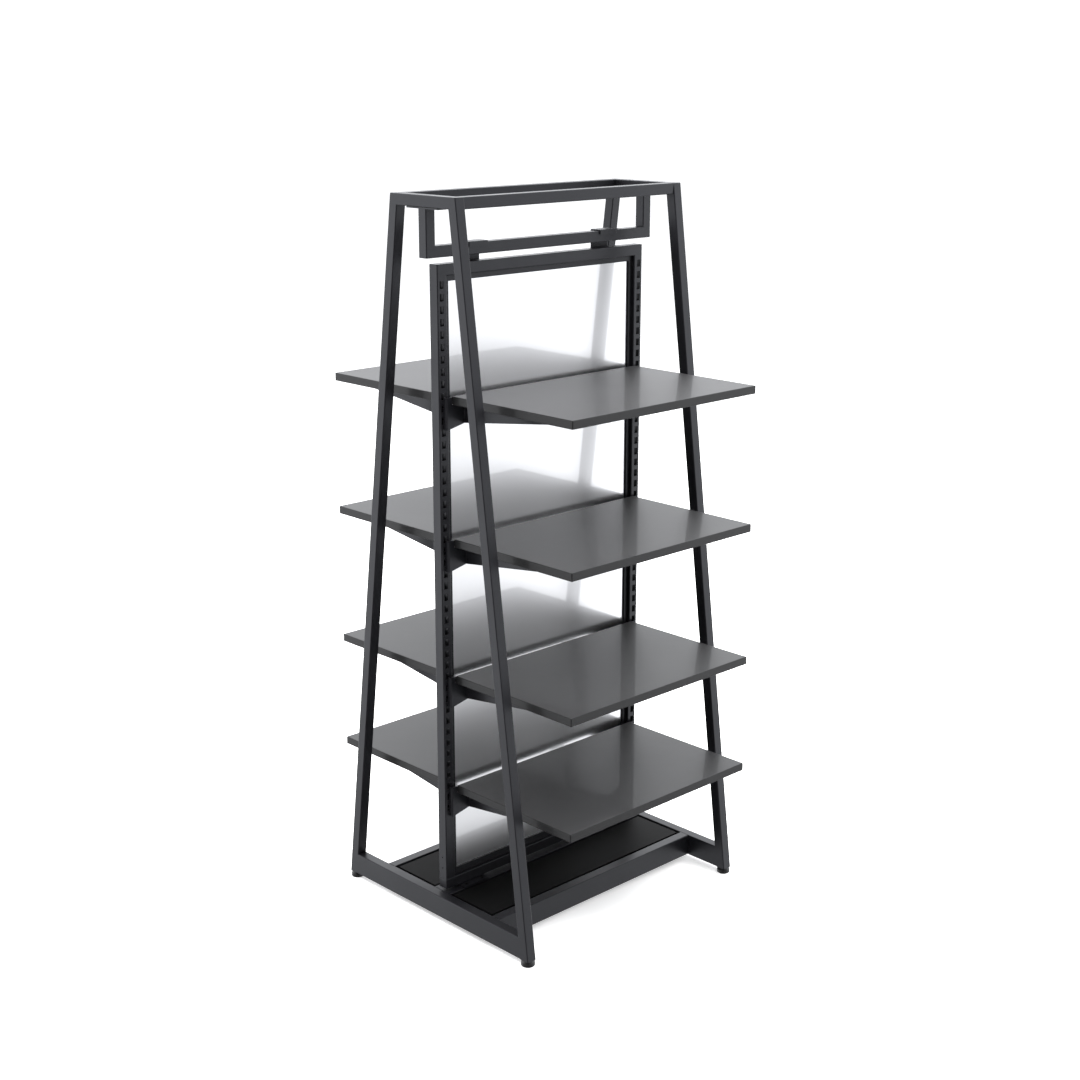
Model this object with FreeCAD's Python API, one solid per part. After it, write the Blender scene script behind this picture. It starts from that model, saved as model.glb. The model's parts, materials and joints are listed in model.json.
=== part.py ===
import FreeCAD, Part
import math
import os

os.makedirs("parts", exist_ok=True)

# Free-standing, double-sided gondola shelving unit on four levelling feet.
# X runs across the width, Y through the depth (the front is -Y) and Z up.
# The origin is on the floor, under the middle of the unit. All sizes are in millimetres.

# End frames and base: welded rectangular steel tube
HALF_WIDTH = 328.6
FRAME_TOP = 1585.0
FRAME_BOTTOM = 12.6
BASE_HALF_DEPTH = 302.5
TOP_HALF_DEPTH = 100.5
TUBE = 24.0
TUBE_WALL = 1.5
TUBE_RADIUS = 2.0
BASE_TUBE_HEIGHT = 50.0
BASE_RAIL_FACE_Y = 188.95
CENTRE_BEAM_HALF_DEPTH = 26.0

# Deck boards between the base rails, lying on welded angle ledges
DECK_DROP = 1.0
DECK_THICKNESS = 12.0
DECK_GAP = 6.5
LEDGE = 15.0
LEDGE_WALL = 2.0
LEDGE_END_GAP = 4.6

# Centre frame: slotted uprights, bottom and top rail, and its foot plates
UPRIGHT_OUTER_X = 302.0
UPRIGHT_WIDTH = 25.0
UPRIGHT_DEPTH = 25.4
UPRIGHT_WALL = 2.0
CENTRE_FRAME_TOP = 1446.6
CENTRE_RAIL_HEIGHT = 24.0
FOOT_PLATE_THICKNESS = 5.0
FOOT_PLATE_HALF_DEPTH = 30.0
FOOT_PLATE_INNER_X = 193.0
FOOT_PLATE_OUTER_X = 263.0

# Slots for the shelf hooks, in the front and rear wall of each upright
SLOT_X = 290.7
SLOT_PITCH = 25.4
SLOT_COUNT = 46
SLOT_WIDTH = 10.0
SLOT_HEIGHT = 15.5
TOP_SLOT_SILL = 1397.2

# Small open holes low on the outer face of each upright
PILOT_RADIUS = 1.75
PILOT_HEIGHTS = (116.0, 141.5)

# Metal back panel in a channel trim
PANEL_THICKNESS = 3.0
PANEL_CLEARANCE = 0.1
PANEL_SEAT = 7.5
TRIM_DEPTH = 10.6
TRIM_SIDE = 10.5
TRIM_TOP = 12.0
TRIM_BOTTOM = 16.4
GROOVE_DEPTH = 8.0

# Hanger: a U of tube between the end frames that steadies the centre frame
HANGER_TOP = 1558.0
HANGER_RAIL_TOP = 1484.1
HANGER_PLATE_THICKNESS = 3.0
HANGER_PLATE_HALF_DEPTH = 48.0
HANGER_SCREW_Y = 34.0
SADDLE_SHEET = 3.0
SADDLE_INNER_X = 165.0
SADDLE_OUTER_X = 217.0
SADDLE_LIP_BOTTOM = 1476.4
SADDLE_BACK_BOTTOM = 1426.0
SADDLE_BEND_RADIUS = 2.5
SADDLE_EDGE_RADIUS = 1.0
SADDLE_SCREW_INSET = 13.0

# Shelf boards and the slots that they hang from, counted down from the top slot
SHELF_HALF_WIDTH = 274.8
SHELF_BACK_Y = 20.5
SHELF_FRONT_Y = 374.1
SHELF_THICKNESS = 18.0
SHELF_EDGE_RADIUS = 2.0
SHELF_ABOVE_SILL = 33.1
SHELF_SLOTS = (10, 22, 34, 44)

# Shelf bracket: one bent sheet with two hooks; depths are measured below the shelf's top
HOOK_X = 289.5
BRACKET_SHEET = 2.5
BRACKET_BEND_RADIUS = 3.0
BRACKET_INNER_RADIUS = 0.5
HOOK_PLATE_TOP = 2.0
HOOK_PLATE_BOTTOM = 70.0
FLANGE_Y = 20.0
FLANGE_NOTCH_X = 275.3
ARM_X = 242.0
ARM_ROOT_DEPTH = 60.0
ARM_TIP_DEPTH = 22.0
ARM_TIP_Y = 312.0
SEAT_FLANGE_WIDTH = 16.0
SEAT_FLANGE_START_Y = 40.0
SEAT_FLANGE_END_Y = 300.0
HOOK_COUNT = 2
HOOK_HEIGHT = 7.5
HOOK_DROP = 6.5
HOOK_WALL_GAP = 0.35
HOOK_FACE_GAP = 0.15
HOOK_LIP = 4.0
HOOK_CORNER = 1.5
SHELF_SCREW_YS = (70.0, 260.0)

# Round-headed screws: (shank radius, head radius, head height, shank length)
SADDLE_SCREW = (2.5, 4.75, 3.0, 12.0)
SHELF_SCREW = (2.0, 4.0, 2.4, 15.0)
HEAD_FILLET_SHARE = 0.4
SOCKET_SHARE = 0.45
SOCKET_DEPTH_SHARE = 0.6
SCREW_CLEARANCE = 0.05

# Countersunk screws of the foot plates and the hanger plates
FLAT_SCREW_RADIUS = 3.0
FLAT_SCREW_LENGTH = 16.0
FLAT_HEAD_RADIUS = 6.0
FLAT_SOCKET_RADIUS = 2.2
FLAT_SOCKET_DEPTH = 2.4
FOOT_PLATE_SCREW_Y = 21.5
FOOT_PLATE_SCREW_INSET = 12.0

# Levelling foot: pad and threaded stem, screwed into an insert in the leg's end
PAD_RADIUS = 15.0
PAD_NECK_RADIUS = 11.0
PAD_SIDE_HEIGHT = 8.0
PAD_CHAMFER = 1.5
STEM_RADIUS = 5.0
STEM_LENGTH = 33.0
STEM_CHAMFER = 1.0
STEM_CLEARANCE = 0.08
INSERT_HEIGHT = 25.0

# Edges that count as equally long, and points that count as the same
LONG_EDGE_SHARE = 0.95
TOLERANCE = 1e-6

# Derived positions
FLUSH_REACH = 2 * TUBE_RADIUS
BASE_TOP = FRAME_BOTTOM + BASE_TUBE_HEIGHT
END_INNER_X = HALF_WIDTH - TUBE
LEG_SLOPE = (BASE_HALF_DEPTH - TOP_HALF_DEPTH) / (FRAME_TOP - FRAME_BOTTOM)
LEG_ACROSS = TUBE * math.hypot(1.0, LEG_SLOPE)
WALL_ACROSS = TUBE_WALL * math.hypot(1.0, LEG_SLOPE)
FOOT_X = HALF_WIDTH - TUBE / 2
FOOT_Y = BASE_HALF_DEPTH - LEG_ACROSS / 2
CENTRE_FRAME_BOTTOM = BASE_TOP + FOOT_PLATE_THICKNESS
UPRIGHT_BOTTOM = CENTRE_FRAME_BOTTOM + CENTRE_RAIL_HEIGHT
UPRIGHT_INNER_X = UPRIGHT_OUTER_X - UPRIGHT_WIDTH
UPRIGHT_FACE_Y = UPRIGHT_DEPTH / 2
PANEL_FRAME_TOP = CENTRE_FRAME_TOP - CENTRE_RAIL_HEIGHT
SHELF_TOPS = [TOP_SLOT_SILL - SLOT_PITCH * slot + SHELF_ABOVE_SILL for slot in SHELF_SLOTS]

X_AXIS = FreeCAD.Vector(1, 0, 0)
Y_AXIS = FreeCAD.Vector(0, 1, 0)
Z_AXIS = FreeCAD.Vector(0, 0, 1)
ORIGIN = FreeCAD.Vector(0, 0, 0)


def save(name, solids):
    """Write one node from its separate solids."""
    Part.makeCompound(solids).exportStep("parts/" + name + ".step")


def block(x_span, y_span, z_span):
    """Box between two limits on each axis."""
    corner = FreeCAD.Vector(min(x_span), min(y_span), min(z_span))
    sizes = [abs(span[1] - span[0]) for span in (x_span, y_span, z_span)]
    return Part.makeBox(*sizes, corner)


def prism_yz(points, x_span):
    """Straight prism along X from an outline of (y, z) points."""
    corners = [FreeCAD.Vector(min(x_span), y, z) for y, z in points]
    face = Part.Face(Part.makePolygon(corners + corners[:1]))
    return face.extrude(X_AXIS * abs(x_span[1] - x_span[0]))


def prism_xz(points, y_span):
    """Straight prism along Y from an outline of (x, z) points."""
    corners = [FreeCAD.Vector(x, min(y_span), z) for x, z in points]
    face = Part.Face(Part.makePolygon(corners + corners[:1]))
    return face.extrude(Y_AXIS * abs(y_span[1] - y_span[0]))


def round_long_edges(shape, radius):
    """Round the edges that run the length of a tube."""
    longest = max(edge.Length for edge in shape.Edges)
    return shape.makeFillet(radius, [edge for edge in shape.Edges if edge.Length > LONG_EDGE_SHARE * longest])


def round_edges_at(shape, axis, radius, *places):
    """Round the edges parallel to an axis that pass through the given points."""
    chosen = []
    for edge in shape.Edges:
        along = edge.Vertexes[-1].Point - edge.Vertexes[0].Point
        if edge.Length > 0 and along.cross(axis).Length < TOLERANCE:
            start = edge.Vertexes[0].Point
            offsets = [(start - place).cross(axis).Length for place in places]
            if min(offsets) < TOLERANCE:
                chosen.append(edge)
    return shape.makeFillet(radius, chosen)


def round_above(shape, radius):
    """Round every edge except those of the flat lower end."""
    bottom = shape.BoundBox.ZMin + TOLERANCE
    return shape.makeFillet(radius, [edge for edge in shape.Edges if edge.BoundBox.ZMax > bottom])


def ground_flush(rounded, sharp, *joining):
    """Fill the rounded edges of a tube where the outer forms of other tubes are welded to it."""
    return rounded.fuse([form.common(sharp) for form in joining]).removeSplitter()


def rail_form(half_length, y_span, z_span):
    """Outer form of a tube along X, centred on the unit."""
    return round_long_edges(block((-half_length, half_length), y_span, z_span), TUBE_RADIUS)


def rail_bore(half_length, y_span, z_span, wall):
    """Hollow inside a tube along X."""
    inner_y = (min(y_span) + wall, max(y_span) - wall)
    inner_z = (min(z_span) + wall, max(z_span) - wall)
    return block((-half_length, half_length), inner_y, inner_z)


def open_rail(half_length, y_span, z_span, wall):
    """Tube along X with open ends, centred on the unit."""
    return rail_form(half_length, y_span, z_span).cut(rail_bore(half_length, y_span, z_span, wall))


def mirror_x(shape):
    """Other side of the unit."""
    return shape.mirror(ORIGIN, X_AXIS)


def mirror_y(shape):
    """Other face of the unit."""
    return shape.mirror(ORIGIN, Y_AXIS)


def corners_of(shape):
    """The same piece at all four corners."""
    return [shape, mirror_x(shape), mirror_y(shape), mirror_x(mirror_y(shape))]


def leg_face_y(height):
    """Distance of a leg's outer face from the middle of the unit at a height."""
    return BASE_HALF_DEPTH - (height - FRAME_BOTTOM) * LEG_SLOPE


def hex_socket(radius, depth, start):
    """Hexagonal recess along Z from a starting height."""
    flats = [
        FreeCAD.Vector(
            radius * math.cos(math.radians(60 * side)),
            radius * math.sin(math.radians(60 * side)),
            start,
        )
        for side in range(6)
    ]
    return Part.Face(Part.makePolygon(flats + flats[:1])).extrude(Z_AXIS * depth)


def put(shape, direction, place):
    """Piece made along Z from the origin, turned to a direction and moved to its place."""
    shape.Placement = FreeCAD.Placement(place, FreeCAD.Rotation(Z_AXIS, direction))
    return shape


def round_screw(spec, direction, under_head):
    """Round-headed socket screw whose head bears on the point under_head."""
    shank_radius, head_radius, head_height, length = spec
    shank = Part.makeCylinder(shank_radius, length)
    head = Part.makeCylinder(head_radius, head_height, ORIGIN, Z_AXIS * -1)
    rim = [edge for edge in head.Edges if abs(edge.BoundBox.ZMax + head_height) < TOLERANCE]
    head = head.makeFillet(head_height * HEAD_FILLET_SHARE, rim)
    socket = hex_socket(head_radius * SOCKET_SHARE, head_height * SOCKET_DEPTH_SHARE, -head_height)
    return put(shank.fuse(head).cut(socket), direction, under_head)


def screw_holes(spec, screws):
    """Clearance holes on the axes of placed screws."""
    radius = spec[0] + SCREW_CLEARANCE
    length = spec[3] + SCREW_CLEARANCE
    holes = []
    for placed in screws:
        direction = placed.Placement.Rotation.multVec(Z_AXIS)
        holes.append(Part.makeCylinder(radius, length, placed.Placement.Base, direction))
    return Part.makeCompound(holes)


def flat_screw(clearance):
    """Countersunk screw along Z with its head flush at the origin, grown by a clearance round its shank."""
    shank = Part.makeCylinder(FLAT_SCREW_RADIUS + clearance, FLAT_SCREW_LENGTH + clearance)
    head = Part.makeCone(FLAT_HEAD_RADIUS, FLAT_SCREW_RADIUS, FLAT_HEAD_RADIUS - FLAT_SCREW_RADIUS)
    return shank.fuse(head)


def flat_screws_and_holes(direction, flush_points):
    """Countersunk screws and their holes, at some points and their mirror images at all four corners."""
    socket = hex_socket(FLAT_SOCKET_RADIUS, FLAT_SOCKET_DEPTH, 0)
    screws = []
    holes = []
    for point in flush_points:
        screws += corners_of(put(flat_screw(0).cut(socket), direction, point))
        holes += corners_of(put(flat_screw(SCREW_CLEARANCE), direction, point))
    return screws, Part.makeCompound(holes)


# ---- Screws of the frame, placed first so that the pieces can be drilled for them ----

foot_plate_points = [
    FreeCAD.Vector(x, FOOT_PLATE_SCREW_Y, CENTRE_FRAME_BOTTOM)
    for x in (FOOT_PLATE_INNER_X + FOOT_PLATE_SCREW_INSET, FOOT_PLATE_OUTER_X - FOOT_PLATE_SCREW_INSET)
]
foot_plate_screws, foot_plate_holes = flat_screws_and_holes(Z_AXIS * -1, foot_plate_points)
hanger_plate_point = FreeCAD.Vector(FOOT_X, HANGER_SCREW_Y, HANGER_TOP)
hanger_plate_screws, hanger_plate_holes = flat_screws_and_holes(Z_AXIS, [hanger_plate_point])
save("plate_screws", foot_plate_screws + hanger_plate_screws)

saddle_back_y = UPRIGHT_FACE_Y + SADDLE_SHEET
saddle_screw_xs = (SADDLE_INNER_X + SADDLE_SCREW_INSET, SADDLE_OUTER_X - SADDLE_SCREW_INSET)
saddle_screw_zs = (CENTRE_FRAME_TOP - CENTRE_RAIL_HEIGHT / 2, HANGER_RAIL_TOP - TUBE / 2)
saddle_screws = [
    round_screw(SADDLE_SCREW, Y_AXIS * -1, FreeCAD.Vector(side * x, saddle_back_y, z))
    for side in (-1, 1)
    for x in saddle_screw_xs
    for z in saddle_screw_zs
]
save("saddle_screws", saddle_screws)
saddle_holes = screw_holes(SADDLE_SCREW, saddle_screws)

# ---- End frames ----

bore_top = FRAME_TOP - TUBE_WALL
bore_x = (END_INNER_X + TUBE_WALL, HALF_WIDTH - TUBE_WALL)
top_rail_y = (TOP_HALF_DEPTH - TUBE, TOP_HALF_DEPTH)
frame_top_z = (FRAME_TOP - TUBE, FRAME_TOP)
base_z = (FRAME_BOTTOM, BASE_TOP)


def leg_outline(bottom, top, wall):
    """Sloping outline (y, z) of a leg, drawn in by its wall on both sides."""
    return [
        (leg_face_y(bottom) - wall, bottom),
        (leg_face_y(top) - wall, top),
        (leg_face_y(top) - LEG_ACROSS + wall, top),
        (leg_face_y(bottom) - LEG_ACROSS + wall, bottom),
    ]


def between_legs(z_span, reach):
    """Outline (y, z) between the legs' inner faces, reaching into both legs."""
    bottom, top = z_span
    outline = []
    for z, face in ((bottom, -1), (bottom, 1), (top, 1), (top, -1)):
        outline.append((face * (leg_face_y(z) - LEG_ACROSS + reach), z))
    return outline


def end_beam_form(z_span, reach):
    """Outer form of a tube between a front and a rear leg, its ends cut to the legs' slope."""
    return round_long_edges(prism_yz(between_legs(z_span, reach), (END_INNER_X, HALF_WIDTH)), TUBE_RADIUS)


def end_beam(z_span):
    """Tube between a front and a rear leg."""
    bore_z = (z_span[0] + TUBE_WALL, z_span[1] - TUBE_WALL)
    return end_beam_form(z_span, 0).cut(prism_yz(between_legs(bore_z, 0), bore_x))


sharp_leg = prism_yz(leg_outline(FRAME_BOTTOM, FRAME_TOP, 0), (END_INNER_X, HALF_WIDTH))
leg = ground_flush(
    round_above(sharp_leg, TUBE_RADIUS),
    sharp_leg,
    end_beam_form(frame_top_z, FLUSH_REACH),
    end_beam_form(base_z, FLUSH_REACH),
    rail_form(END_INNER_X + FLUSH_REACH, top_rail_y, frame_top_z),
)
leg = leg.cut(prism_yz(leg_outline(FRAME_BOTTOM, bore_top, WALL_ACROSS), bore_x))
save("leg_rear_right", [leg])
save("leg_rear_left", [mirror_x(leg)])
save("leg_front_right", [mirror_y(leg)])
save("leg_front_left", [mirror_x(mirror_y(leg))])

end_top_beam = end_beam(frame_top_z)
for name, beam in (("end_top_beam_right", end_top_beam), ("end_top_beam_left", mirror_x(end_top_beam))):
    save(name, [beam.cut(hanger_plate_holes)])
end_base_beam = end_beam(base_z)
save("end_base_beam_right", [end_base_beam])
save("end_base_beam_left", [mirror_x(end_base_beam)])

# ---- Rails between the end frames ----

top_rail = open_rail(END_INNER_X, top_rail_y, frame_top_z, TUBE_WALL)
save("top_rail_rear", [top_rail])
save("top_rail_front", [mirror_y(top_rail)])

base_rail = open_rail(END_INNER_X, (BASE_RAIL_FACE_Y - TUBE, BASE_RAIL_FACE_Y), base_z, TUBE_WALL)
save("base_rail_rear", [base_rail])
save("base_rail_front", [mirror_y(base_rail)])

# ---- Centre beam of the base and the foot plates screwed to it ----

centre_beam_y = (-CENTRE_BEAM_HALF_DEPTH, CENTRE_BEAM_HALF_DEPTH)
centre_beam = open_rail(END_INNER_X, centre_beam_y, base_z, TUBE_WALL)
save("centre_base_beam", [centre_beam.cut(foot_plate_holes)])

foot_plate = block(
    (FOOT_PLATE_INNER_X, FOOT_PLATE_OUTER_X),
    (-FOOT_PLATE_HALF_DEPTH, FOOT_PLATE_HALF_DEPTH),
    (BASE_TOP, CENTRE_FRAME_BOTTOM),
).cut(foot_plate_holes)
save("foot_plates", [foot_plate, mirror_x(foot_plate)])

# ---- Deck boards and ledges ----

deck_top = BASE_TOP - DECK_DROP
deck_bottom = deck_top - DECK_THICKNESS
deck_inner_y = CENTRE_BEAM_HALF_DEPTH
deck_outer_y = BASE_RAIL_FACE_Y - TUBE
deck = block(
    (-END_INNER_X + DECK_GAP, END_INNER_X - DECK_GAP),
    (deck_inner_y + DECK_GAP, deck_outer_y - DECK_GAP),
    (deck_bottom, deck_top),
)
save("deck_rear", [deck])
save("deck_front", [mirror_y(deck)])

ledges = []
ledge_half = END_INNER_X - LEDGE_END_GAP
for wall_y, inward in ((deck_inner_y, 1), (deck_outer_y, -1)):
    outline = [
        (wall_y, deck_bottom),
        (wall_y + inward * LEDGE, deck_bottom),
        (wall_y + inward * LEDGE, deck_bottom - LEDGE_WALL),
        (wall_y + inward * LEDGE_WALL, deck_bottom - LEDGE_WALL),
        (wall_y + inward * LEDGE_WALL, deck_bottom - LEDGE),
        (wall_y, deck_bottom - LEDGE),
    ]
    ledge = prism_yz(outline, (-ledge_half, ledge_half))
    ledges += [ledge, mirror_y(ledge)]
save("deck_ledges", ledges)

# ---- Centre frame ----

centre_rail_y = (-UPRIGHT_FACE_Y, UPRIGHT_FACE_Y)
bottom_rail_z = (CENTRE_FRAME_BOTTOM, UPRIGHT_BOTTOM)
bottom_rail = block((-UPRIGHT_OUTER_X, UPRIGHT_OUTER_X), centre_rail_y, bottom_rail_z)
bottom_rail = bottom_rail.makeFillet(TUBE_RADIUS, bottom_rail.Edges)
bottom_bore = rail_bore(UPRIGHT_OUTER_X - UPRIGHT_WALL, centre_rail_y, bottom_rail_z, UPRIGHT_WALL)
save("centre_bottom_rail", [bottom_rail.cut(bottom_bore)])

top_rail_z = (PANEL_FRAME_TOP, CENTRE_FRAME_TOP)
centre_top_rail = open_rail(UPRIGHT_INNER_X, centre_rail_y, top_rail_z, UPRIGHT_WALL)
save("centre_top_rail", [centre_top_rail.cut(saddle_holes)])

upright_z = (UPRIGHT_BOTTOM, CENTRE_FRAME_TOP)
sharp_upright = block((UPRIGHT_INNER_X, UPRIGHT_OUTER_X), centre_rail_y, upright_z)
upright = ground_flush(
    round_above(sharp_upright, TUBE_RADIUS),
    sharp_upright,
    rail_form(UPRIGHT_INNER_X + FLUSH_REACH, centre_rail_y, top_rail_z),
)
upright_bore = block(
    (UPRIGHT_INNER_X + UPRIGHT_WALL, UPRIGHT_OUTER_X - UPRIGHT_WALL),
    (-UPRIGHT_FACE_Y + UPRIGHT_WALL, UPRIGHT_FACE_Y - UPRIGHT_WALL),
    (UPRIGHT_BOTTOM, CENTRE_FRAME_TOP - UPRIGHT_WALL),
)
slot_x = (SLOT_X - SLOT_WIDTH / 2, SLOT_X + SLOT_WIDTH / 2)
slots = []
for slot in range(SLOT_COUNT):
    sill = TOP_SLOT_SILL - slot * SLOT_PITCH
    slots.append(block(slot_x, centre_rail_y, (sill, sill + SLOT_HEIGHT)))
pilot_holes = [
    Part.makeCylinder(PILOT_RADIUS, UPRIGHT_WALL, FreeCAD.Vector(UPRIGHT_OUTER_X, 0, z), X_AXIS * -1)
    for z in PILOT_HEIGHTS
]
upright = upright.cut(Part.makeCompound([upright_bore] + slots + pilot_holes))
save("upright_right", [upright])
save("upright_left", [mirror_x(upright)])

# ---- Back panel and its trim ----

panel_half_x = UPRIGHT_INNER_X - TRIM_SIDE + PANEL_SEAT
panel_bottom = UPRIGHT_BOTTOM + TRIM_BOTTOM - PANEL_SEAT
panel_top = PANEL_FRAME_TOP - TRIM_TOP + PANEL_SEAT
panel_y = (-PANEL_THICKNESS / 2, PANEL_THICKNESS / 2)
save("back_panel", [block((-panel_half_x, panel_half_x), panel_y, (panel_bottom, panel_top))])

trim_y = (-TRIM_DEPTH / 2, TRIM_DEPTH / 2)
groove_y = (panel_y[0] - PANEL_CLEARANCE, panel_y[1] + PANEL_CLEARANCE)
trim_inner_x = UPRIGHT_INNER_X - TRIM_SIDE
trim_z = (UPRIGHT_BOTTOM, PANEL_FRAME_TOP)
side_trim = block((trim_inner_x, UPRIGHT_INNER_X), trim_y, trim_z)
side_trim = side_trim.cut(block((trim_inner_x, trim_inner_x + GROOVE_DEPTH), groove_y, trim_z))
trim_x = (-trim_inner_x, trim_inner_x)
bottom_lip = UPRIGHT_BOTTOM + TRIM_BOTTOM
bottom_trim = block(trim_x, trim_y, (UPRIGHT_BOTTOM, bottom_lip))
bottom_trim = bottom_trim.cut(block(trim_x, groove_y, (bottom_lip - GROOVE_DEPTH, bottom_lip)))
top_lip = PANEL_FRAME_TOP - TRIM_TOP
top_trim = block(trim_x, trim_y, (top_lip, PANEL_FRAME_TOP))
top_trim = top_trim.cut(block(trim_x, groove_y, (top_lip, top_lip + GROOVE_DEPTH)))
save("panel_trim", [side_trim, mirror_x(side_trim), bottom_trim, top_trim])

# ---- Hanger and the saddles that tie the centre frame to it ----

hanger_y = (-TUBE / 2, TUBE / 2)
hanger_rail_z = (HANGER_RAIL_TOP - TUBE, HANGER_RAIL_TOP)
hanger_bore_y = (-TUBE / 2 + TUBE_WALL, TUBE / 2 - TUBE_WALL)


def hanger_leg_form(bottom):
    """Outer form of the right-hand leg of the hanger, down to a height."""
    return round_long_edges(block((END_INNER_X, HALF_WIDTH), hanger_y, (bottom, HANGER_TOP)), TUBE_RADIUS)


sharp_rail = block((-HALF_WIDTH, HALF_WIDTH), hanger_y, hanger_rail_z)
lowered_leg = hanger_leg_form(HANGER_RAIL_TOP - FLUSH_REACH)
hanger_rail = ground_flush(
    sharp_rail.makeFillet(TUBE_RADIUS, sharp_rail.Edges),
    sharp_rail,
    lowered_leg,
    mirror_x(lowered_leg),
)
hanger_bore = rail_bore(HALF_WIDTH - TUBE_WALL, hanger_y, hanger_rail_z, TUBE_WALL)
save("hanger_rail", [hanger_rail.cut(hanger_bore).cut(saddle_holes)])

hanger_leg = hanger_leg_form(HANGER_RAIL_TOP)
hanger_leg = hanger_leg.cut(block(bore_x, hanger_bore_y, (HANGER_RAIL_TOP, HANGER_TOP)))
save("hanger_leg_right", [hanger_leg])
save("hanger_leg_left", [mirror_x(hanger_leg)])

hanger_plate_y = (-HANGER_PLATE_HALF_DEPTH, HANGER_PLATE_HALF_DEPTH)
hanger_plate_z = (HANGER_TOP, HANGER_TOP + HANGER_PLATE_THICKNESS)
hanger_plate = block((END_INNER_X, HALF_WIDTH), hanger_plate_y, hanger_plate_z)
save("hanger_plates", [plate.cut(hanger_plate_holes) for plate in (hanger_plate, mirror_x(hanger_plate))])

saddle_front_y = -TUBE / 2 - SADDLE_SHEET
saddle_top = HANGER_RAIL_TOP + SADDLE_SHEET
saddle_outline = [
    (saddle_front_y, SADDLE_LIP_BOTTOM),
    (saddle_front_y, saddle_top),
    (saddle_back_y, saddle_top),
    (saddle_back_y, SADDLE_BACK_BOTTOM),
    (UPRIGHT_FACE_Y, SADDLE_BACK_BOTTOM),
    (UPRIGHT_FACE_Y, HANGER_RAIL_TOP),
    (-TUBE / 2, HANGER_RAIL_TOP),
    (-TUBE / 2, SADDLE_LIP_BOTTOM),
]
saddle = prism_yz(saddle_outline, (SADDLE_INNER_X, SADDLE_OUTER_X))
bends = [FreeCAD.Vector(SADDLE_INNER_X, y, saddle_top) for y in (saddle_front_y, saddle_back_y)]
saddle = round_edges_at(saddle, X_AXIS, SADDLE_BEND_RADIUS, *bends)
sheet_ends = [edge for edge in saddle.Edges if edge.BoundBox.XLength < TOLERANCE]
saddle = saddle.makeFillet(SADDLE_EDGE_RADIUS, sheet_ends)
save("saddles", [piece.cut(saddle_holes) for piece in (saddle, mirror_x(saddle))])

# ---- Shelves, each with two brackets and four screws ----


def hook(sill):
    """Tongue through a slot with a lip that drops behind the upright's wall."""
    plate_edge = UPRIGHT_FACE_Y + HOOK_FACE_GAP
    lip_front = UPRIGHT_FACE_Y - UPRIGHT_WALL - HOOK_WALL_GAP
    lip_back = lip_front - HOOK_LIP
    outline = [
        (plate_edge, sill),
        (lip_front, sill),
        (lip_front, sill - HOOK_DROP),
        (lip_back + HOOK_CORNER, sill - HOOK_DROP),
        (lip_back, sill - HOOK_DROP + HOOK_CORNER),
        (lip_back, sill + HOOK_HEIGHT - HOOK_CORNER),
        (lip_back + HOOK_CORNER, sill + HOOK_HEIGHT),
        (plate_edge, sill + HOOK_HEIGHT),
    ]
    return prism_yz(outline, (HOOK_X - BRACKET_SHEET / 2, HOOK_X + BRACKET_SHEET / 2))


def bracket(shelf_top):
    """Right-hand bracket of a rear shelf: hook plate, flange and tapered arm in one sheet."""
    underside = shelf_top - SHELF_THICKNESS
    height = (shelf_top - HOOK_PLATE_BOTTOM, shelf_top - HOOK_PLATE_TOP)
    outer_x = HOOK_X + BRACKET_SHEET / 2
    inner_x = outer_x - BRACKET_SHEET
    arm_inner_x = ARM_X - BRACKET_SHEET
    flange_front = FLANGE_Y + BRACKET_SHEET
    hook_plate = block((inner_x, outer_x), (UPRIGHT_FACE_Y + HOOK_FACE_GAP, flange_front), height)
    flange = block((arm_inner_x, outer_x), (FLANGE_Y, flange_front), height)
    arm = block((arm_inner_x, ARM_X), (FLANGE_Y, ARM_TIP_Y), height)
    sheet = hook_plate.fuse([flange, arm]).removeSplitter()
    outer_bends = [FreeCAD.Vector(outer_x, flange_front, 0), FreeCAD.Vector(arm_inner_x, FLANGE_Y, 0)]
    inner_bends = [FreeCAD.Vector(inner_x, FLANGE_Y, 0), FreeCAD.Vector(ARM_X, flange_front, 0)]
    sheet = round_edges_at(sheet, Z_AXIS, BRACKET_BEND_RADIUS, *outer_bends)
    sheet = round_edges_at(sheet, Z_AXIS, BRACKET_INNER_RADIUS, *inner_bends)
    seat_x = (ARM_X - SEAT_FLANGE_WIDTH, ARM_X)
    above_board = block((0, FLANGE_NOTCH_X), (0, SHELF_FRONT_Y), (underside, shelf_top))
    root = shelf_top - ARM_ROOT_DEPTH
    lowest = shelf_top - HOOK_PLATE_BOTTOM
    below_flange = prism_xz(
        [(inner_x, lowest), (ARM_X, root), (0, root), (0, lowest)],
        (0, SHELF_FRONT_Y),
    )
    below_arm = prism_yz(
        [
            (flange_front, root),
            (ARM_TIP_Y, shelf_top - ARM_TIP_DEPTH),
            (ARM_TIP_Y, lowest),
            (flange_front, lowest),
        ],
        (0, ARM_X),
    )
    sheet = sheet.cut(Part.makeCompound([above_board, below_flange]))
    sheet = sheet.cut(below_arm)
    seat_y = (SEAT_FLANGE_START_Y, SEAT_FLANGE_END_Y)
    seat = block(seat_x, seat_y, (underside - BRACKET_SHEET, underside))
    sill = shelf_top - SHELF_ABOVE_SILL
    hooks = [hook(sill - number * SLOT_PITCH) for number in range(HOOK_COUNT)]
    return sheet.fuse([seat] + hooks).removeSplitter()


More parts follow.
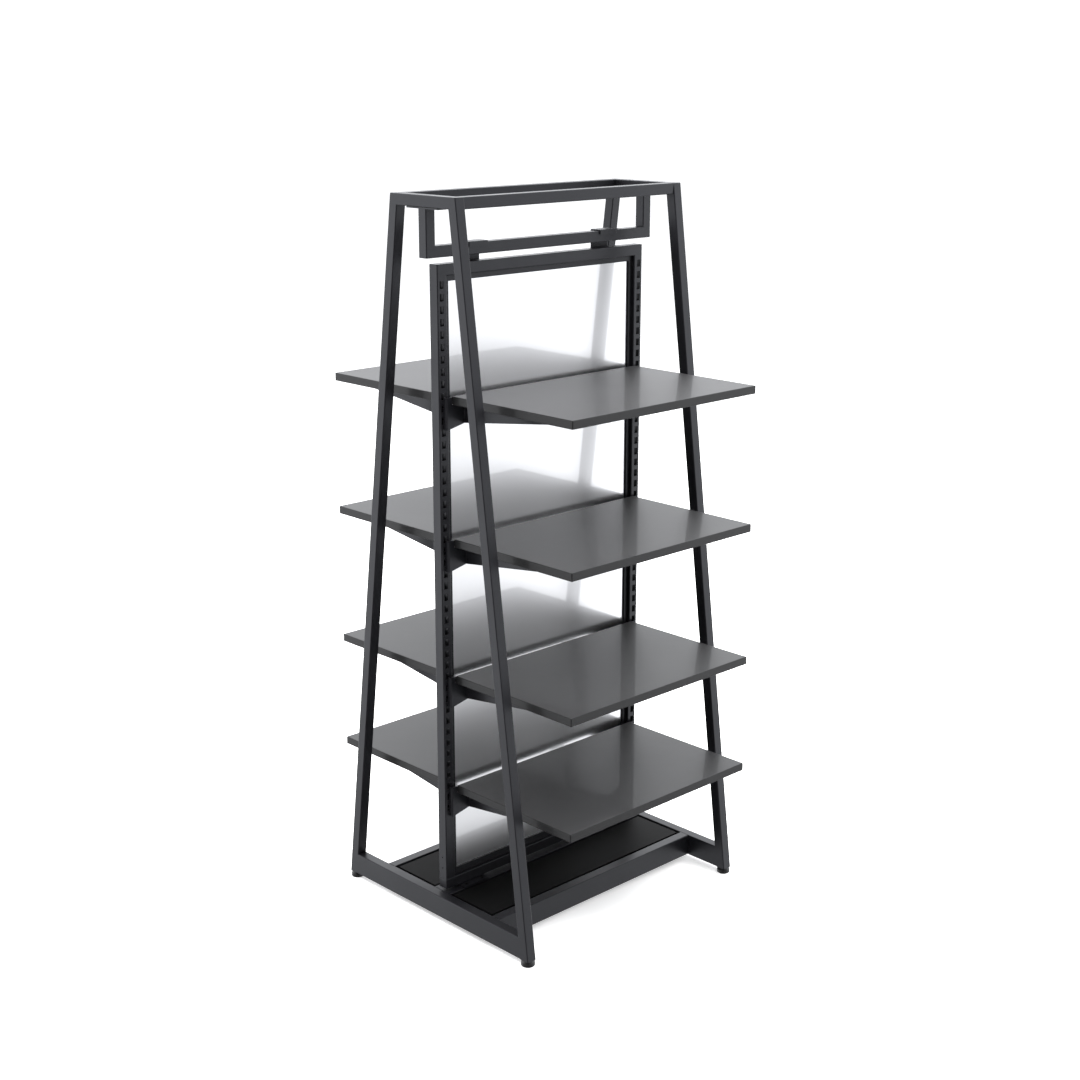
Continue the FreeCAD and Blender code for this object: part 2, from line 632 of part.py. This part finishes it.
screw_x = ARM_X - SEAT_FLANGE_WIDTH + SHELF_SCREW[1] + BRACKET_SHEET
for number, shelf_top in enumerate(SHELF_TOPS, start=1):
    underside = shelf_top - SHELF_THICKNESS
    board = block(
        (-SHELF_HALF_WIDTH, SHELF_HALF_WIDTH),
        (SHELF_BACK_Y, SHELF_FRONT_Y),
        (underside, shelf_top),
    )
    board = board.makeFillet(SHELF_EDGE_RADIUS, board.Edges)
    screws = [
        round_screw(SHELF_SCREW, Z_AXIS, FreeCAD.Vector(side * screw_x, y, underside - BRACKET_SHEET))
        for side in (-1, 1)
        for y in SHELF_SCREW_YS
    ]
    holes = screw_holes(SHELF_SCREW, screws)
    board = board.cut(holes)
    right = bracket(shelf_top)
    brackets = [piece.cut(holes) for piece in (right, mirror_x(right))]
    suffix = str(number)
    save("shelf_rear_" + suffix, [board])
    save("brackets_rear_" + suffix, brackets)
    save("shelf_screws_rear_" + suffix, screws)
    save("shelf_front_" + suffix, [mirror_y(board)])
    save("brackets_front_" + suffix, [mirror_y(piece) for piece in brackets])
    save("shelf_screws_front_" + suffix, [mirror_y(piece) for piece in screws])

# ---- Levelling feet and the inserts that they screw into ----

insert_top = FRAME_BOTTOM + INSERT_HEIGHT
insert_outline = leg_outline(FRAME_BOTTOM, insert_top, WALL_ACROSS)
foot_centre = FreeCAD.Vector(FOOT_X, FOOT_Y, 0)
thread_bore = Part.makeCylinder(STEM_RADIUS + STEM_CLEARANCE, insert_top, foot_centre, Z_AXIS)
save("foot_inserts", corners_of(prism_yz(insert_outline, bore_x).cut(thread_bore)))

stem_top = FRAME_BOTTOM + STEM_LENGTH
foot_profile = [
    (0, 0),
    (PAD_RADIUS - PAD_CHAMFER, 0),
    (PAD_RADIUS, PAD_CHAMFER),
    (PAD_RADIUS, PAD_SIDE_HEIGHT),
    (PAD_NECK_RADIUS, FRAME_BOTTOM),
    (STEM_RADIUS, FRAME_BOTTOM),
    (STEM_RADIUS, stem_top - STEM_CHAMFER),
    (STEM_RADIUS - STEM_CHAMFER, stem_top),
    (0, stem_top),
]
profile = [foot_centre + FreeCAD.Vector(radius, 0, z) for radius, z in foot_profile]
foot = Part.Face(Part.makePolygon(profile + profile[:1])).revolve(foot_centre, Z_AXIS, 360)
save("levelling_foot_rear_right", [foot])
save("levelling_foot_rear_left", [mirror_x(foot)])
save("levelling_foot_front_right", [mirror_y(foot)])
save("levelling_foot_front_left", [mirror_x(mirror_y(foot))])
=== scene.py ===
import json
import bpy
from mathutils import Matrix, Vector

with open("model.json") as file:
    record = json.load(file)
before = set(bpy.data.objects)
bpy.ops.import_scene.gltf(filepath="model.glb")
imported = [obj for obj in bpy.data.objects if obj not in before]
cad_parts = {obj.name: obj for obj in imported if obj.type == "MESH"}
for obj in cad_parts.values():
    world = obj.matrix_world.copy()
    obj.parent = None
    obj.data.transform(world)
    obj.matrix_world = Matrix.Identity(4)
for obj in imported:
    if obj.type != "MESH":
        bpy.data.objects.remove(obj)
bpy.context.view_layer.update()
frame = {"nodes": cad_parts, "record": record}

scene = bpy.context.scene
nodes = frame["nodes"]

# ---- Camera: three-quarter view from the front left, a little above the top ----

CAMERA_PLACE = Vector((-2.5573, -2.6668, 1.8315))
CAMERA_FORWARD = Vector((0.66680, 0.69626, -0.26570)).normalized()
CAMERA_LENS = 57.33
CAMERA_SENSOR = 36.0
CAMERA_REACH = 100.0


def aim(place, forward):
    """Placement of a camera or lamp that looks along forward, with its top side up."""
    right = forward.cross(Vector((0, 0, 1))).normalized()
    up = right.cross(forward)
    turn = Matrix((right, up, -forward)).transposed()
    return Matrix.Translation(place) @ turn.to_4x4()


camera_data = bpy.data.cameras.new("camera")
camera_data.lens = CAMERA_LENS
camera_data.sensor_width = CAMERA_SENSOR
camera_data.clip_end = CAMERA_REACH
camera = bpy.data.objects.new("camera", camera_data)
camera.matrix_world = aim(CAMERA_PLACE, CAMERA_FORWARD)
scene.collection.objects.link(camera)
scene.camera = camera

# ---- Materials ----

# Noise rarely leaves this range, so ramps that follow it run from one end to the other.
NOISE_LOW = 0.3
NOISE_HIGH = 0.7
# How far a surface's unit normal points up or down: it counts as upright up to the first value,
# and as level from about the second.
UPRIGHT_SLOPE = 0.6
LEVEL_SLOPE = 0.95


class Shader:
    """A Principled material with helpers for procedural detail in the object's own space."""

    def __init__(self, name, roughness, **constants):
        self.material = bpy.data.materials.new(name)
        self.material.use_nodes = True
        self.tree = self.material.node_tree
        self.surface = self.tree.nodes["Principled BSDF"]
        self.surface.inputs["Roughness"].default_value = roughness
        for socket, value in constants.items():
            self.surface.inputs[socket.replace("_", " ")].default_value = value
        self.coordinates = self.tree.nodes.new("ShaderNodeTexCoord").outputs
        self.normal = None

    def noise(self, scale, detail=2.0, rough=0.5):
        """Noise at a number of waves per metre."""
        texture = self.tree.nodes.new("ShaderNodeTexNoise")
        texture.inputs["Scale"].default_value = scale
        texture.inputs["Detail"].default_value = detail
        texture.inputs["Roughness"].default_value = rough
        self.tree.links.new(self.coordinates["Object"], texture.inputs["Vector"])
        return texture.outputs["Fac"]

    def colours(self, factor, low, high):
        """Base colour that wanders between two colours."""
        ramp = self.tree.nodes.new("ShaderNodeValToRGB")
        ramp.color_ramp.elements[0].position = NOISE_LOW
        ramp.color_ramp.elements[1].position = NOISE_HIGH
        ramp.color_ramp.elements[0].color = (*low, 1)
        ramp.color_ramp.elements[1].color = (*high, 1)
        self.tree.links.new(factor, ramp.inputs["Fac"])
        self.tree.links.new(ramp.outputs["Color"], self.surface.inputs["Base Color"])
        return ramp.outputs["Color"]

    def darker_sides(self, colour, share):
        """Base colour that drops to a share of itself on surfaces that stand upright: painted
        shade on the sides, where less light falls than on the level faces.
        """
        normal = self.tree.nodes.new("ShaderNodeSeparateXYZ")
        self.tree.links.new(self.coordinates["Normal"], normal.inputs[0])
        slope = self.tree.nodes.new("ShaderNodeMath")
        slope.operation = "ABSOLUTE"
        self.tree.links.new(normal.outputs["Z"], slope.inputs[0])
        strength = self.tree.nodes.new("ShaderNodeMapRange")
        strength.inputs["From Min"].default_value = UPRIGHT_SLOPE
        strength.inputs["From Max"].default_value = LEVEL_SLOPE
        strength.inputs["To Min"].default_value = share
        self.tree.links.new(slope.outputs["Value"], strength.inputs["Value"])
        scaled = self.tree.nodes.new("ShaderNodeVectorMath")
        scaled.operation = "SCALE"
        self.tree.links.new(colour, scaled.inputs[0])
        self.tree.links.new(strength.outputs["Result"], scaled.inputs["Scale"])
        self.tree.links.new(scaled.outputs["Vector"], self.surface.inputs["Base Color"])

    def wander(self, factor, below, above):
        """Roughness that wanders a little below and above its own value."""
        roughness = self.surface.inputs["Roughness"]
        spread = self.tree.nodes.new("ShaderNodeMapRange")
        spread.inputs["From Min"].default_value = NOISE_LOW
        spread.inputs["From Max"].default_value = NOISE_HIGH
        spread.inputs["To Min"].default_value = roughness.default_value - below
        spread.inputs["To Max"].default_value = roughness.default_value + above
        self.tree.links.new(factor, spread.inputs["Value"])
        self.tree.links.new(spread.outputs["Result"], roughness)

    def bump(self, factor, height, strength):
        """Relief of a given height in metres, on top of any earlier relief."""
        node = self.tree.nodes.new("ShaderNodeBump")
        node.inputs["Distance"].default_value = height
        node.inputs["Strength"].default_value = strength
        self.tree.links.new(factor, node.inputs["Height"])
        if self.normal is not None:
            self.tree.links.new(self.normal, node.inputs["Normal"])
        self.normal = node.outputs["Normal"]
        self.tree.links.new(self.normal, self.surface.inputs["Normal"])


def grey(value, tint=1.03):
    """Neutral grey with a faint cool tint, as linear colour."""
    return (value, value, value * tint)


# The paint and its highlights both lean towards blue.
PAINT_TINT = 1.2
HIGHLIGHT_TINT = (0.93, 0.945, 1.0, 1.0)
# Height in metres and strength of the fine relief on paint and plastic.
PEEL_HEIGHT = 0.00003
PEEL_STRENGTH = 0.3
# Roughness of a clear skin or coating.
CLEAR = 0.03
# Share of a board's shade that its darkest grain has.
DARKEST_GRAIN = 0.92


def powder_coat(name, low, high, roughness):
    """Baked powder paint: fine orange peel, and slow changes in shade and gloss."""
    paint = Shader(name, roughness, Specular_IOR_Level=0.37, Specular_Tint=HIGHLIGHT_TINT)
    paint.colours(paint.noise(9.0, detail=3.0), grey(low, PAINT_TINT), grey(high, PAINT_TINT))
    paint.wander(paint.noise(14.0, detail=3.0), below=0.02, above=0.03)
    paint.bump(paint.noise(700.0, detail=1.0), PEEL_HEIGHT, PEEL_STRENGTH)
    return paint.material


def laminate(name, face, edge_band_and_side_shade, roughness, specular, gloss):
    """Dark laminated board: a satin film under a thin glossy skin, and edges of another shade.
    The darker edges are partly the edge band's own shade and partly painted shade for the weaker
    light on upright faces.
    """
    film = Shader(
        name,
        roughness,
        Specular_IOR_Level=specular,
        Coat_Weight=gloss,
        Coat_Roughness=CLEAR,
    )
    grain = film.noise(40.0, detail=4.0, rough=0.6)
    shade = film.colours(grain, grey(face * DARKEST_GRAIN), grey(face))
    # Upright faces get a darker base colour: the edge band's shade together with painted shade
    # standing in for the weaker light on the sides.
    film.darker_sides(shade, edge_band_and_side_shade / face)
    film.wander(film.noise(3.0), below=0.01, above=0.01)
    return film.material


def satin_sheet(name):
    """Satin metal sheet under a clear hard coating that mirrors sharply."""
    sheet = Shader(
        name,
        roughness=0.28,
        Metallic=1.0,
        Coat_Weight=1.0,
        Coat_Roughness=CLEAR,
        Coat_IOR=2.4,
    )
    sheet.colours(sheet.noise(2.5), grey(0.88, tint=1.01), grey(0.90, tint=1.01))
    sheet.wander(sheet.noise(2.0), below=0.005, above=0.005)
    return sheet.material


def blackened_steel(name):
    """Oiled black steel of the screws."""
    steel = Shader(name, roughness=0.38, Metallic=1.0)
    steel.colours(steel.noise(500.0, detail=3.0), grey(0.05), grey(0.11))
    steel.wander(steel.noise(900.0), below=0.08, above=0.10)
    return steel.material


def moulded_plastic(name):
    """Black moulded nylon of the feet and their inserts."""
    plastic = Shader(name, roughness=0.42)
    plastic.colours(plastic.noise(200.0, detail=3.0), grey(0.006), grey(0.010))
    plastic.wander(plastic.noise(90.0), below=0.04, above=0.06)
    plastic.bump(plastic.noise(1500.0, detail=1.0), PEEL_HEIGHT, PEEL_STRENGTH)
    return plastic.material


looks = {
    "frame_paint": powder_coat("frame_powder_coat", low=0.006, high=0.007, roughness=0.36),
    "upright_paint": powder_coat("upright_powder_coat", low=0.006, high=0.007, roughness=0.36),
    "trim_paint": powder_coat("trim_powder_coat", low=0.004, high=0.005, roughness=0.42),
    "bracket_paint": powder_coat("bracket_powder_coat", low=0.006, high=0.007, roughness=0.36),
    "panel_metal": satin_sheet("panel_satin_metal"),
    "deck_board": laminate(
        "deck_laminate", face=0.003, edge_band_and_side_shade=0.003, roughness=0.6, specular=0.1, gloss=0.0
    ),
    "shelf_board": laminate(
        "shelf_laminate", face=0.025, edge_band_and_side_shade=0.008, roughness=0.45, specular=0.24, gloss=0.12
    ),
    "screw_steel": blackened_steel("screw_steel"),
    "insert_plastic": moulded_plastic("insert_plastic"),
    "foot_plastic": moulded_plastic("foot_plastic"),
}
for part in frame["record"]["subparts"]:
    mesh = nodes[part["node"]].data
    mesh.materials.clear()
    mesh.materials.append(looks[part["material_slot"]])

# ---- Studio: pale floor, uneven surroundings and a soft lamp overhead ----

FLOOR_HALF = 30.0
# The floor glows a little, so that it stays white right up to the unit.
FLOOR_GLOW = 0.48
floor_mesh = bpy.data.meshes.new("floor")
corners = [(-FLOOR_HALF, -FLOOR_HALF, 0), (FLOOR_HALF, -FLOOR_HALF, 0)]
corners += [(FLOOR_HALF, FLOOR_HALF, 0), (-FLOOR_HALF, FLOOR_HALF, 0)]
floor_mesh.from_pydata(corners, [], [(0, 1, 2, 3)])
floor = bpy.data.objects.new("floor", floor_mesh)
scene.collection.objects.link(floor)
floor.visible_glossy = False
floor_look = Shader("floor_paint", roughness=0.9, Specular_IOR_Level=0.0)
floor_look.colours(floor_look.noise(2.0), grey(0.78, tint=1.0), grey(0.80, tint=1.0))
floor_look.surface.inputs["Emission Color"].default_value = (1.0, 1.0, 1.0, 1.0)
floor_look.surface.inputs["Emission Strength"].default_value = FLOOR_GLOW
floor_mesh.materials.append(floor_look.material)

# Brightness of the surroundings by heading: the cosine between a level direction and the side
# that the camera stands on, and the brightness there. They are darkest behind the camera.
BY_HEADING = [
    (-1.0, 2.7),
    (-0.2, 3.25),
    (-0.06, 2.8),
    (0.08, 1.65),
    (0.3, 1.1),
    (0.75, 0.9),
    (1.0, 0.1),
]
# Share of that brightness by height: the cosine between a direction and straight up, and the
# share there.
BY_HEIGHT = [(-0.52, 0.25), (-0.35, 0.74), (0.2, 0.74), (0.42, 1.0), (0.75, 0.22)]
# Strength of the background. The ramps hold each brightness as a share of it.
BRIGHTEST = 3.5
# What the camera itself sees past the floor's edge.
BACKDROP = 1.2
DAYLIGHT = (0.975, 0.99, 1.02)
UNTINTED = (1.0, 1.0, 1.0)
# Sockets of a Mix node set to colours, by number because several of them share a name.
MIX_FACTOR, MIX_FIRST, MIX_SECOND = 0, 6, 7
MIX_RESULT = 2

world = bpy.data.worlds.new("studio")
world.use_nodes = True
make = world.node_tree.nodes.new
link = world.node_tree.links.new


def vector_math(operation, vector, other=None):
    """World node for one operation on a vector, with a fixed second vector if one is given."""
    node = make("ShaderNodeVectorMath")
    node.operation = operation
    link(vector, node.inputs[0])
    if other is not None:
        node.inputs[1].default_value = other
    return node


def follow(cosine, stops, brightest, tint):
    """Tinted colour that runs through stops of (cosine, brightness), as a share of brightest."""
    share = make("ShaderNodeMapRange")
    share.inputs["From Min"].default_value = -1.0
    link(cosine, share.inputs["Value"])
    ramp = make("ShaderNodeValToRGB")
    elements = ramp.color_ramp.elements
    present = len(elements)
    for number, (place, brightness) in enumerate(stops):
        position = (place + 1) / 2
        stop = elements[number] if number < present else elements.new(position)
        stop.position = position
        stop.color = (*[brightness / brightest * channel for channel in tint], 1)
    link(share.outputs["Result"], ramp.inputs["Fac"])
    return ramp.outputs["Color"]


direction = make("ShaderNodeTexCoord").outputs["Generated"]
level = vector_math("MULTIPLY", direction, (1.0, 1.0, 0.0)).outputs["Vector"]
heading = vector_math("NORMALIZE", level).outputs["Vector"]
camera_side = Vector((-CAMERA_FORWARD.x, -CAMERA_FORWARD.y, 0)).normalized()
facing = vector_math("DOT_PRODUCT", heading, camera_side).outputs["Value"]
rising = vector_math("DOT_PRODUCT", direction, (0.0, 0.0, 1.0)).outputs["Value"]
glow = vector_math("MULTIPLY", follow(facing, BY_HEADING, BRIGHTEST, DAYLIGHT))
link(follow(rising, BY_HEIGHT, 1.0, UNTINTED), glow.inputs[1])
seen = make("ShaderNodeMix")
seen.data_type = "RGBA"
link(make("ShaderNodeLightPath").outputs["Is Camera Ray"], seen.inputs[MIX_FACTOR])
link(glow.outputs["Vector"], seen.inputs[MIX_FIRST])
seen.inputs[MIX_SECOND].default_value = (*[BACKDROP / BRIGHTEST] * 3, 1)
background = world.node_tree.nodes["Background"]
background.inputs["Strength"].default_value = BRIGHTEST
link(seen.outputs[MIX_RESULT], background.inputs["Color"])
scene.world = world

# Lamp over the unit, a little off its axis because aim() cannot look straight down. It lights the
# floor softly, and neither reflections nor the camera show it.
LAMP_PLACE = Vector((0.01, 0, 5.0))
LAMP_SIZE = 8.0
LAMP_POWER = 1200.0

lamp_data = bpy.data.lights.new("overhead", "AREA")
lamp_data.shape = "SQUARE"
lamp_data.size = LAMP_SIZE
lamp_data.energy = LAMP_POWER
lamp = bpy.data.objects.new("overhead", lamp_data)
lamp.matrix_world = aim(LAMP_PLACE, -LAMP_PLACE.normalized())
lamp.visible_glossy = False
lamp.visible_camera = False
scene.collection.objects.link(lamp)

scene.view_settings.view_transform = "Standard"
